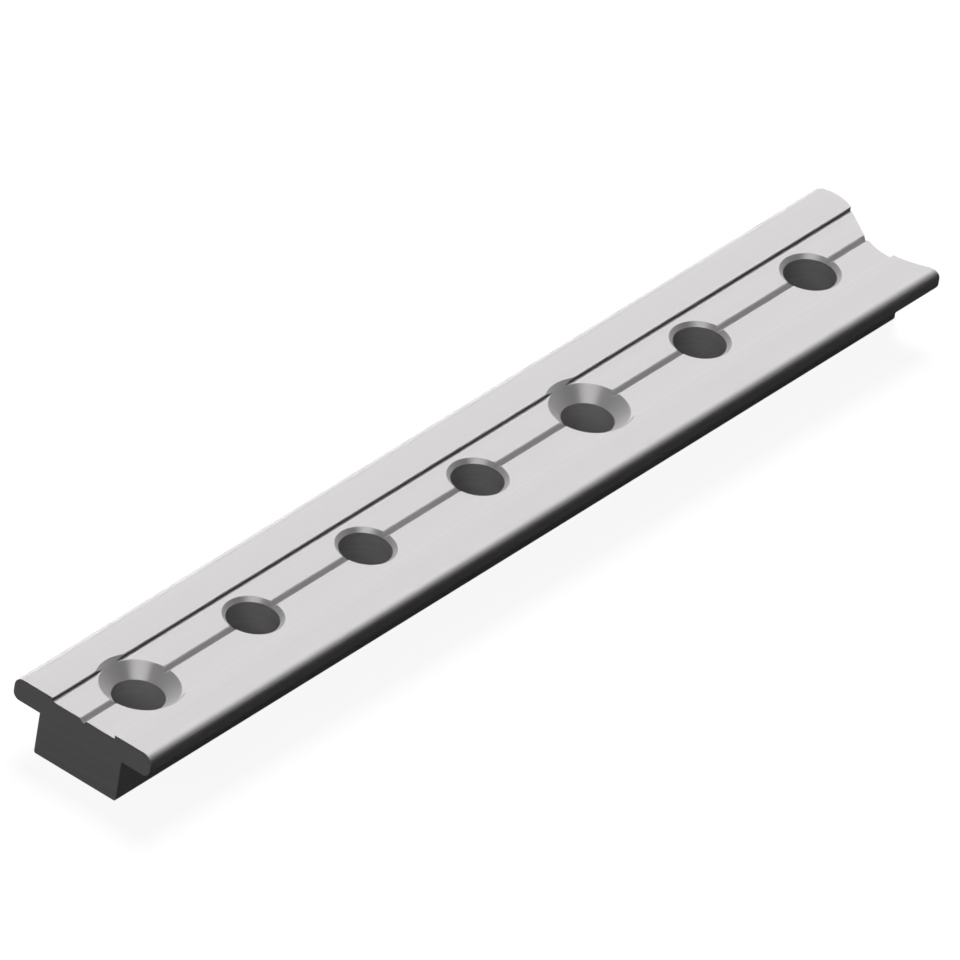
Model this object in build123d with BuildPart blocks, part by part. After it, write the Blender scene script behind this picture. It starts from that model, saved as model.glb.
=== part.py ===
from build123d import *
import os

os.makedirs("parts", exist_ok=True)

# A length of T-shaped sail track, extruded in one piece: a wide head on a narrower stem.
# The track runs along X with its head up, and the foot of the stem lies at Z = 0.
# The middle hole's axis is at X = 0 and Y = 0. Sizes are in millimetres.

# Extruded section
head_width = 25.0
head_thickness = 3.7
stem_width = 15.0
stem_height = 6.9
recess_width = 11.5
recess_depth = 0.6
groove_width = 1.25
groove_depth = groove_width / 2
lip_top_radius = 1.5
lip_underside_radius = 1.2
foot_radius = 0.35
track_height = stem_height + head_thickness
recess_floor = track_height - recess_depth

# Row of holes: every fourth one takes a countersunk fastener, the rest take a stop pin
hole_pitch = 25.0
hole_count = 7
fastener_interval = 4
bore_radius = 3.9
pin_chamfer = 0.6
screw_seat_radius = 6.5
seat_angle = 90.0
first_hole_x = -hole_pitch * (hole_count // 2)
hole_places = [(first_hole_x + i * hole_pitch, 0) for i in range(hole_count)]
fastener_places = hole_places[::fastener_interval]
pin_places = [place for place in hole_places if place not in fastener_places]

# Square end, sawn midway between two holes
square_end_x = first_hole_x - hole_pitch / 2

# Wavy end: one Bezier curve across the head, set out from the last hole
wave_low_end = 14.8
wave_low_pull = 4.9
wave_high_pull = 21.7
wave_high_end = 15.4
wave_pull_y = 2.5
cut_overrun = 1.0
last_hole_x = hole_places[-1][0]
cut_side_y = head_width / 2 + cut_overrun
blank_end_x = last_hole_x + wave_high_pull

with BuildPart() as track_section:
    # The T section, with rounded lips and a shallow recess between two side rails
    with BuildSketch(Plane.YZ.offset(square_end_x)) as section:
        Rectangle(stem_width, track_height, align=(Align.CENTER, Align.MIN))
        with Locations((0, stem_height)):
            Rectangle(head_width, head_thickness, align=(Align.CENTER, Align.MIN))
        columns = section.vertices().group_by(Axis.X)
        lip_corners = ShapeList(columns[0] + columns[-1])
        fillet(lip_corners.group_by(Axis.Y)[0], lip_underside_radius)
        fillet(section.vertices().group_by(Axis.Y)[-1], lip_top_radius)
        fillet(section.vertices().group_by(Axis.Y)[0], foot_radius)
        with Locations((0, recess_floor)):
            Rectangle(recess_width, recess_depth, align=(Align.CENTER, Align.MIN), mode=Mode.SUBTRACT)
        # Centre groove that guides the drill
        Polygon(
            (-groove_width / 2, recess_floor),
            (0, recess_floor - groove_depth),
            (groove_width / 2, recess_floor),
            align=None,
            mode=Mode.SUBTRACT,
        )
    extrude(amount=blank_end_x - square_end_x)

    # Stop-pin holes, bored through with a chamfered mouth in the recess floor
    with Locations(Plane.XY.offset(recess_floor)):
        with Locations(*pin_places):
            CounterSinkHole(bore_radius, bore_radius + pin_chamfer, counter_sink_angle=seat_angle)

    # Fastener holes, countersunk from the rails' tops so the seat bites into both rails
    with Locations(Plane.XY.offset(track_height)):
        with Locations(*fastener_places):
            CounterSinkHole(bore_radius, screw_seat_radius, counter_sink_angle=seat_angle)

    # Wavy end, cut square to the foot through the full height
    with BuildSketch(Plane.XY) as wave_cut:
        with BuildLine():
            wave = Bezier(
                (last_hole_x + wave_low_end, -cut_side_y),
                (last_hole_x + wave_low_pull, wave_pull_y),
                (last_hole_x + wave_high_pull, wave_pull_y),
                (last_hole_x + wave_high_end, cut_side_y),
            )
            Polyline(
                wave @ 1,
                (blank_end_x + cut_overrun, cut_side_y),
                (blank_end_x + cut_overrun, -cut_side_y),
                wave @ 0,
            )
        make_face()
    extrude(amount=track_height, mode=Mode.SUBTRACT)

track_section.part.label = "track_section"
export_step(track_section.part, "parts/track_section.step")
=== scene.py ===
import math

import bpy
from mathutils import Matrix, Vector

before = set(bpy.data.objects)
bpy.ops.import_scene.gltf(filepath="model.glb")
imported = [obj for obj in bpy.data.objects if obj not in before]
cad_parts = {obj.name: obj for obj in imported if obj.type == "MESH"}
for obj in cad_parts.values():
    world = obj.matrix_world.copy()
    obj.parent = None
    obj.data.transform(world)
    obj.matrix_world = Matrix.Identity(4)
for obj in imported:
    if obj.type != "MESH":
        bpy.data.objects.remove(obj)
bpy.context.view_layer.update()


# The track section is one length of aluminium, extruded to a T and then drilled, countersunk
# and sawn. It is clear anodised all over to a pale satin grey. Its CAD solid is the whole
# shape, so the solid stays and only takes its finish here. Lengths in this section are in mm.
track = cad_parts["track_section"]
hole_pitch = 25.0
fastener_pitch = 100.0
first_fastener_x = -75.0
bore_radius = 3.9
chamfer_rim_radius = 4.5
seat_rim_radius = 6.5
recess_edge = 5.75
recess_floor = 10.0
rail_top = 10.6
groove_edge = 0.625
square_end_x = -87.5
wavy_end_x = 84.0
hair = 0.06  # slack, so that a mark takes in the surface that it lies on

anodised_colour = (0.68, 0.665, 0.672, 1.0)
# Painted shade: the bores take a darker colour for the shade inside them.
drilled_shade_colour = (0.42, 0.411, 0.415, 1.0)
# Painted shade: the square end takes a darker colour for the shade on that side.
sawn_shade_colour = (0.57, 0.557, 0.563, 1.0)
# Painted shade: the countersinks and chamfers take a darker colour for their shade.
turned_shade_colour = (0.47, 0.46, 0.464, 1.0)
# Painted shade for the recess walls and the groove
painted_shade_colour = (0.1, 0.096, 0.094, 1.0)
# Lightens the worn edges, and paints a highlight on the seats where they lie in the rails
wear_and_highlight_colour = (0.78, 0.77, 0.775, 1.0)


class Shade:
    """A shader socket whose arithmetic adds the Math nodes that it needs."""

    def __init__(self, tree, socket=None):
        self.tree = tree
        self.socket = socket

    def add(self, kind, settings, sockets, output=0):
        """A node of any kind, and the one of its outputs that is wanted."""
        node = self.tree.nodes.new(kind)
        for name, value in settings.items():
            setattr(node, name, value)
        for key, value in sockets.items():
            if isinstance(value, Shade):
                self.tree.links.new(value.socket, node.inputs[key])
            else:
                node.inputs[key].default_value = value
        return Shade(self.tree, node.outputs[output] if node.outputs else None)

    def math(self, operation, *others):
        values = dict(enumerate((self, *others)))
        return self.add("ShaderNodeMath", {"operation": operation}, values)

    def __add__(self, other):
        return self.math("ADD", other)

    __radd__ = __add__

    def __sub__(self, other):
        return self.math("SUBTRACT", other)

    def __rsub__(self, other):
        return self.add("ShaderNodeMath", {"operation": "SUBTRACT"}, {0: other, 1: self})

    def __mul__(self, other):
        return self.math("MULTIPLY", other)

    __rmul__ = __mul__

    def __truediv__(self, other):
        return self.math("DIVIDE", other)

    def __gt__(self, other):
        return self.math("GREATER_THAN", other)

    def __lt__(self, other):
        return self.math("LESS_THAN", other)

    def __abs__(self):
        return self.math("ABSOLUTE")

    def near(self, place, reach):
        """1 within reach of a place, and 0 elsewhere."""
        return self.math("COMPARE", place, reach)

    def ramp(self, low, high):
        """0 at low and 1 at high, with a smooth rise between them."""
        return self.add("ShaderNodeMapRange", {"interpolation_type": "SMOOTHSTEP"}, {
            "Value": self, "From Min": low, "From Max": high,
        })

    def under(self, colour, mask):
        """This colour with another one laid over it by a mask."""
        return self.add("ShaderNodeMix", {"data_type": "RGBA"}, {0: mask, 6: self, 7: colour}, 2)


def blank_sheet(owner):
    """The node tree of a material or a world, emptied for its own nodes."""
    owner.use_nodes = True
    owner.node_tree.nodes.clear()
    return Shade(owner.node_tree)


def axes(vector):
    """The three parts of a vector."""
    parts = vector.add("ShaderNodeSeparateXYZ", {}, {"Vector": vector}).socket.node.outputs
    return [Shade(vector.tree, parts[name]) for name in "XYZ"]


def mottle(sheet, x, y, z, detail):
    """Noise from 0 to 1, a grain to each unit of the place. A squeezed axis draws it out."""
    place = sheet.add("ShaderNodeCombineXYZ", {}, {"X": x, "Y": y, "Z": z})
    return sheet.add("ShaderNodeTexNoise", {}, {"Vector": place, "Scale": 1.0, "Detail": detail})


def axis_distance(x, y, first, pitch):
    """The distance to the nearest axis in a row of holes along X."""
    steps = (x - first) / pitch
    along = (x - first) - pitch * steps.math("ROUND")
    return (along * along + y * y).math("SQRT")


anodised = bpy.data.materials.new("satin_anodised")
sheet = blank_sheet(anodised)
mm_per_metre = 1000.0
metres = sheet.add("ShaderNodeTexCoord", {}, {}, "Object")
x, y, z = axes(sheet.add("ShaderNodeVectorMath", {"operation": "SCALE"}, {
    0: metres, "Scale": mm_per_metre,
}))
facing_x, facing_y, facing_z = axes(sheet.add("ShaderNodeTexCoord", {}, {}, "Normal"))
side = abs(y)
out = axis_distance(x, y, first_fastener_x, hole_pitch)
fastener_out = axis_distance(x, y, first_fastener_x, fastener_pitch)
upright = abs(facing_z) < 0.1

# Where each tool has been: the drill, the countersink, the saw and the cutter of the wavy end.
# Place and facing tell, and facing goes from -1 to 1 along each axis.
drilled = (out < bore_radius + hair / 2) * upright
chamfered = (z - out).near(recess_floor - chamfer_rim_radius, hair)
chamfered = chamfered * (out < chamfer_rim_radius + hair)
seated = (z - fastener_out).near(rail_top - seat_rim_radius, hair)
seated = seated * (fastener_out < seat_rim_radius + hair)
turned = chamfered.math("MAXIMUM", seated) * (1 - drilled)
sawn = (x < square_end_x + hair) * (facing_x < -0.5)
milled = (x > wavy_end_x) * (facing_x > 0.3) * upright * (out > chamfer_rim_radius)
cut = turned.math("MAXIMUM", drilled).math("MAXIMUM", sawn).math("MAXIMUM", milled)
drawn = 1 - cut

# Marks of making: fine lines along the extrusion, and the tools' own lines on what they cut.
# The numbers are grains to the mm, or to the unit of facing.
die_lines = mottle(sheet, x * 0.006, y * 3.2, z * 3.2, 2.0)
die_bands = mottle(sheet, x * 0.002, y * 0.45, z * 0.45, 1.0)
etched_grain = mottle(sheet, x * 5.0, y * 5.0, z * 5.0, 1.0)
clouds = mottle(sheet, x * 0.045, y * 0.045, z * 0.045, 2.0)
turned_rings = mottle(sheet, out * 7.0, facing_x * 0.1, facing_y * 0.1, 2.0)
drill_rings = mottle(sheet, facing_x * 0.5, facing_y * 0.5, z * 2.6, 2.0)
saw_lines = mottle(sheet, x, y * 0.12 + z * 1.9, y * 0.02, 2.0)
cutter_lines = mottle(sheet, y * 2.4, z * 0.06, x * 0.06, 2.0)

# Painted shade darkens the recess walls and the groove in patches, and handling rubs the
# edges. A painted highlight lightens the parts of the seats that lie in the rails. The shares
# say how much of the painted shade's or the bright metal's colour shows at the most.
wall_shade_share = 0.95
groove_shade_share = 0.5
wear_and_highlight_share = 0.25
wall_shade_reach = 0.05
wall_shade_thins = rail_top - 0.4
wall_shade_ends = rail_top - 0.1
groove_shade_reach = 0.35
below_groove = recess_floor - 1.0
seat_highlight_starts = recess_floor - 0.3
seat_highlight_full = recess_floor + 0.4
# Painted shade: the recess walls, most at their foot, and the groove are darkened in patches.
wall_shade = side.ramp(recess_edge - wall_shade_reach, recess_edge) * (side < recess_edge + hair)
wall_shade = wall_shade * (z > recess_floor - hair) * (1 - z.ramp(wall_shade_thins, wall_shade_ends))
groove_shade = 1 - side.ramp(groove_shade_reach, groove_edge)
groove_shade = groove_shade * (z < recess_floor - hair) * (z > below_groove)
painted_shade = (wall_shade_share * wall_shade).math("MAXIMUM", groove_shade_share * groove_shade)
painted_shade = painted_shade * drawn * clouds.ramp(-0.3, 0.5)
rail_edge = side.near(recess_edge + hair, hair * 2) * (z > rail_top - hair * 2)
rim_edge = fastener_out.near(seat_rim_radius + hair, hair) * (z > rail_top - hair)
hole_edge = out.near(chamfer_rim_radius + hair, hair) * z.near(recess_floor, hair)
# Painted highlight on the parts of the seats that lie in the rails
seat_highlight = seated * z.ramp(seat_highlight_starts, seat_highlight_full)
wear_and_highlight = rail_edge.math("MAXIMUM", rim_edge).math("MAXIMUM", hole_edge) * drawn
wear_and_highlight = wear_and_highlight.math("MAXIMUM", seat_highlight)

# Painted shade: the turned, drilled and sawn surfaces take darker colours below for their shade.
colour = sheet.add("ShaderNodeMix", {"data_type": "RGBA"}, {
    0: turned, 6: anodised_colour, 7: turned_shade_colour,
}, 2)
colour = colour.under(drilled_shade_colour, drilled)
colour = colour.under(sawn_shade_colour, sawn)
colour = colour.under(painted_shade_colour, painted_shade)
colour = colour.under(wear_and_highlight_colour, wear_and_highlight * wear_and_highlight_share)

# How far each mark lightens and darkens the colour
mean = 0.5
streaks = 1 + drawn * (0.05 * (die_lines - mean) + 0.04 * (die_bands - mean))
streaks = streaks + 0.03 * (etched_grain - mean)
streaks = streaks + turned * 0.08 * (turned_rings - mean) + drilled * 0.3 * (drill_rings - mean)
streaks = streaks + sawn * 0.16 * (saw_lines - mean) + milled * 0.16 * (cutter_lines - mean)
colour = colour.add("ShaderNodeVectorMath", {"operation": "SCALE"}, {0: colour, "Scale": streaks})

# A satin finish, duller in patches, where shade is painted and where the saw and the drill went
satin = 0.4
roughness = satin + 0.08 * (clouds - mean) + 0.08 * (etched_grain - mean) + 0.1 * painted_shade
roughness = roughness + 0.1 * drilled - 0.05 * turned + 0.06 * sawn

# Heights of the marks in mm
height = drawn * (0.004 * die_lines + 0.002 * etched_grain)
height = height + turned * 0.003 * turned_rings + drilled * 0.01 * drill_rings
height = height + sawn * 0.012 * saw_lines + milled * 0.01 * cutter_lines
relief = sheet.add("ShaderNodeBump", {}, {
    "Strength": 1.0, "Distance": 1 / mm_per_metre, "Height": height,
})

# The oxide layer scatters nearly all the light, so little of the metal's own gloss is left
skin = sheet.add("ShaderNodeBsdfPrincipled", {}, {
    "Base Color": colour,
    "Metallic": 0.025,
    "Roughness": roughness,
    "Specular IOR Level": 0.0,
    "Normal": relief,
})
sheet.add("ShaderNodeOutputMaterial", {}, {"Surface": skin})
track.material_slots[0].material = anodised


# A plain pale floor, far larger than the view and a hair below the foot. The camera and the
# gloss of the metal see it white, with the shadow of the track on it, and it throws only a
# little light back up. It is clear from below, so that a view from there still shows the foot.
floor_size = 12.0
floor_drop = 0.00005
floor_bounce = (0.01, 0.01, 0.01, 1.0)
floor_grey = (0.12, 0.12, 0.12, 1.0)
floor_glow = 0.92
white = (1.0, 1.0, 1.0, 1.0)

bpy.ops.object.select_all(action="DESELECT")
bpy.ops.mesh.primitive_plane_add(size=floor_size, location=(0.0, 0.0, -floor_drop))
floor = bpy.context.object
floor.name = "floor"


def seeing_rays(sheet):
    """1 for a ray that sees, from the camera, in gloss or through glass, and 0 for light."""
    camera_ray = sheet.add("ShaderNodeLightPath", {}, {}, "Is Camera Ray")
    gloss_ray = sheet.add("ShaderNodeLightPath", {}, {}, "Is Glossy Ray")
    clear_ray = sheet.add("ShaderNodeLightPath", {}, {}, "Is Transmission Ray")
    return camera_ray.math("MAXIMUM", gloss_ray).math("MAXIMUM", clear_ray)


paint = bpy.data.materials.new("floor_paint")
sheet = blank_sheet(paint)
bounce = sheet.add("ShaderNodeBsdfDiffuse", {}, {"Color": floor_bounce})
pale = sheet.add("ShaderNodeBsdfDiffuse", {}, {"Color": floor_grey})
glow = sheet.add("ShaderNodeEmission", {}, {"Color": white, "Strength": floor_glow})
shown = sheet.add("ShaderNodeAddShader", {}, {0: pale, 1: glow})
upper = sheet.add("ShaderNodeMixShader", {}, {"Fac": seeing_rays(sheet), 1: bounce, 2: shown})
below = sheet.add("ShaderNodeNewGeometry", {}, {}, "Backfacing")
clear = sheet.add("ShaderNodeBsdfTransparent", {}, {"Color": white})
surface = sheet.add("ShaderNodeMixShader", {}, {"Fac": below, 1: upper, 2: clear})
sheet.add("ShaderNodeOutputMaterial", {}, {"Surface": surface})
floor.data.materials.append(paint)


# Soft studio light: a broad lamp high on the far side of the track and a weak one off its
# square end. Three panels show in the gloss alone and light nothing else. Where it is seen,
# the room is white, and it throws no other light.
def hang_lamp(name, azimuth, elevation, distance, size, level, lights=True):
    """A round lamp that gives a white surface facing it the level as its brightness."""
    turn, rise = math.radians(azimuth), math.radians(elevation)
    flat = math.cos(rise)
    toward_lamp = Vector((flat * math.cos(turn), flat * math.sin(turn), math.sin(rise)))
    bpy.ops.object.light_add(type="AREA", location=toward_lamp * distance)
    lamp = bpy.context.object
    lamp.name = name
    lamp.rotation_euler = toward_lamp.to_track_quat("Z", "Y").to_euler()
    lamp.data.shape = "DISK"
    lamp.data.size = size
    lamp.data.energy = level * math.pi ** 2 * distance ** 2
    lamp.visible_camera = False
    lamp.visible_diffuse = lights


hang_lamp("key_lamp", azimuth=42, elevation=52, distance=4, size=1.8, level=1.045)
hang_lamp("end_lamp", azimuth=184, elevation=37, distance=3, size=1.5, level=0.105)
hang_lamp("cone_panel", azimuth=224, elevation=54, distance=3, size=2.4, level=5.2, lights=False)
hang_lamp("rim_panel", azimuth=61, elevation=12, distance=3, size=1.1, level=1.9, lights=False)
hang_lamp("lip_panel", azimuth=-10, elevation=47, distance=3, size=2.0, level=1.7, lights=False)

room = bpy.data.worlds.new("room")
bpy.context.scene.world = room
sheet = blank_sheet(room)
air = sheet.add("ShaderNodeBackground", {}, {"Color": white, "Strength": seeing_rays(sheet)})
sheet.add("ShaderNodeOutputWorld", {}, {"Surface": air})


# The camera stands far off with a very long lens, because the photograph shows no
# perspective. It looks down along the track from the square end and leans a little.
aim = Vector((0.005183, 0.003143, 0.005194))
toward_camera = Vector((-0.671098, -0.454721, 0.585537))
camera_distance = 6.22326
camera_turn = (53.806, -7.443, -50.465)
bpy.ops.object.camera_add(location=aim + toward_camera * camera_distance)
camera = bpy.context.object
camera.name = "camera"
camera.rotation_euler = [math.radians(degrees) for degrees in camera_turn]
camera.data.lens = 1650.0
camera.data.sensor_width = 36.0
camera.data.clip_start = 0.1
camera.data.clip_end = 50.0
bpy.context.scene.camera = camera
bpy.context.scene.view_settings.view_transform = "Standard"


bpy.context.view_layer.update()
